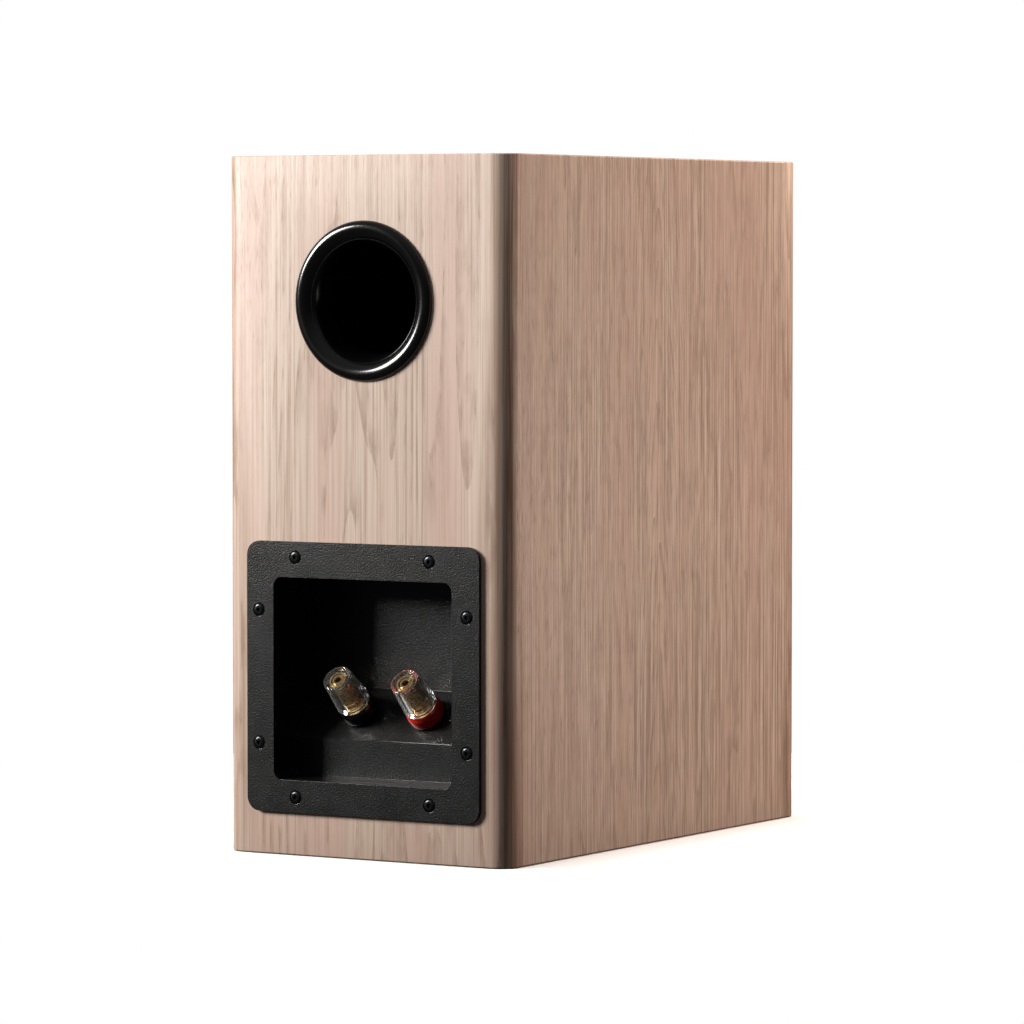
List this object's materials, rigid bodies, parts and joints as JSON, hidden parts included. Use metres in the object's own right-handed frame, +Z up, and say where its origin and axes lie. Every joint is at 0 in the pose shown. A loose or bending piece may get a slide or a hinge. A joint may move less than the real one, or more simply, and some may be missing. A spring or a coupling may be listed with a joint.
{
  "type": "bookshelf speaker",
  "caption": "Two-way bookshelf speaker: rounded oak-veneered box, cone woofer and dome tweeter in front, flared rear port and recessed terminal tray with screw-down posts.",
  "frame": {"origin": "centre of the footprint, on the surface that the cabinet stands on", "axes": "+Z up, the drivers face -Y, the port and the terminals face +Y, +X is the left side seen from the front looking out"},
  "size_m": [0.21, 0.386, 0.44],
  "materials": {
    "oak_veneer": "satin clear lacquer over pale oak veneer",
    "birch_ply": "raw sanded",
    "port_plastic": "gloss moulded",
    "tray_plastic": "fine moulded texture",
    "gasket_foam": "closed-cell foam",
    "black_screw": "black oxide",
    "red_collar": "gloss",
    "black_collar": "gloss",
    "post_metal": "polished, thin gold plating",
    "clear_cap": "clear acrylic",
    "basket_metal": "black powder coat on die-cast alloy",
    "surround_rubber": "matt",
    "cone_paper": "coated, faintly ribbed",
    "dust_cap": "matt",
    "coil_copper": "enamelled copper wire",
    "spider_cloth": "resin-stiffened cloth",
    "motor_steel": "zinc plated",
    "ferrite": "sintered",
    "faceplate_plastic": "satin",
    "dome_silk": "coated silk",
    "chamber_plastic": "moulded",
    "circuit_board": "resin-bonded paper board",
    "film_capacitor": "tape-wrapped film",
    "cement": "cast",
    "wool": "loose polyester wadding",
    "red_lead": "insulation",
    "black_lead": "insulation"
  },
  "bodies": {
    "cabinet": {"front_baffle": "oak_veneer", "rear_panel": "oak_veneer", "left_side_panel": "oak_veneer", "right_side_panel": "oak_veneer", "top_panel": "oak_veneer", "bottom_panel": "oak_veneer", "window_brace": "birch_ply", "wadding_left": "wool", "wadding_right": "wool", "port_tube": "port_plastic", "port_inner_flare": "port_plastic", "terminal_tray": "tray_plastic", "terminal_gasket": "gasket_foam", "terminal_screw_1": "black_screw", "terminal_screw_2": "black_screw", "terminal_screw_3": "black_screw", "terminal_screw_4": "black_screw", "terminal_screw_5": "black_screw", "terminal_screw_6": "black_screw", "terminal_screw_7": "black_screw", "terminal_screw_8": "black_screw", "red_collar": "red_collar", "red_stud": "post_metal", "red_rear_nut": "post_metal", "black_collar": "black_collar", "black_stud": "post_metal", "black_rear_nut": "post_metal", "woofer_basket": "basket_metal", "woofer_surround": "surround_rubber", "woofer_spider": "spider_cloth", "woofer_top_plate": "motor_steel", "woofer_magnet": "ferrite", "woofer_yoke": "motor_steel", "tweeter_faceplate": "faceplate_plastic", "tweeter_surround": "dome_silk", "tweeter_top_plate": "motor_steel", "tweeter_magnet": "ferrite", "tweeter_yoke": "motor_steel", "tweeter_rear_chamber": "chamber_plastic", "crossover_board": "circuit_board", "woofer_filter_coil": "coil_copper", "tweeter_filter_coil": "coil_copper", "woofer_capacitor": "film_capacitor", "tweeter_capacitor": "film_capacitor", "tweeter_resistor": "cement", "woofer_lead": "black_lead", "tweeter_lead": "red_lead", "red_input_lead": "red_lead", "black_input_lead": "black_lead"},
    "woofer_moving_parts": {"woofer_cone": "cone_paper", "woofer_dust_cap": "dust_cap", "woofer_voice_coil": "coil_copper"},
    "tweeter_moving_parts": {"tweeter_dome": "dome_silk", "tweeter_voice_coil": "coil_copper"},
    "red_clamp": {"red_clamp_washer": "post_metal"},
    "red_cap_turning": {"red_cap": "clear_cap", "red_cap_insert": "post_metal"},
    "black_clamp": {"black_clamp_washer": "post_metal"},
    "black_cap_turning": {"black_cap": "clear_cap", "black_cap_insert": "post_metal"}
  },
  "joints": [
    {"name": "woofer_cone_travel", "type": "slide", "parent": "cabinet", "child": "woofer_moving_parts", "axis": [0, -1, 0], "range_m": [-0.006, 0.006], "stiffness_N_per_m": 1000, "deforming": ["woofer_surround", "woofer_spider"]},
    {"name": "tweeter_dome_travel", "type": "slide", "parent": "cabinet", "child": "tweeter_moving_parts", "axis": [0, -1, 0], "range_m": [-0.0005, 0.0005], "stiffness_N_per_m": 200, "deforming": ["tweeter_surround"]},
    {"name": "red_clamp_travel", "type": "slide", "parent": "cabinet", "child": "red_clamp", "axis": [0, 0.766, 0.6428], "range_m": [0, 0.0045]},
    {"name": "red_cap_turn", "type": "hinge", "parent": "red_clamp", "child": "red_cap_turning", "pos_m": [-0.025, 0.1536, 0.0885], "axis": [0, 0.766, 0.6428], "range_deg": [0, 1620]},
    {"name": "black_clamp_travel", "type": "slide", "parent": "cabinet", "child": "black_clamp", "axis": [0, 0.766, 0.6428], "range_m": [0, 0.0045]},
    {"name": "black_cap_turn", "type": "hinge", "parent": "black_clamp", "child": "black_cap_turning", "pos_m": [0.025, 0.1536, 0.0885], "axis": [0, 0.766, 0.6428], "range_deg": [0, 1620]}
  ],
  "couplings": [
    {"joint": "red_cap_turn", "follows": "red_clamp_travel", "rad_per_m": 6283.2},
    {"joint": "black_cap_turn", "follows": "black_clamp_travel", "rad_per_m": 6283.2}
  ]
}
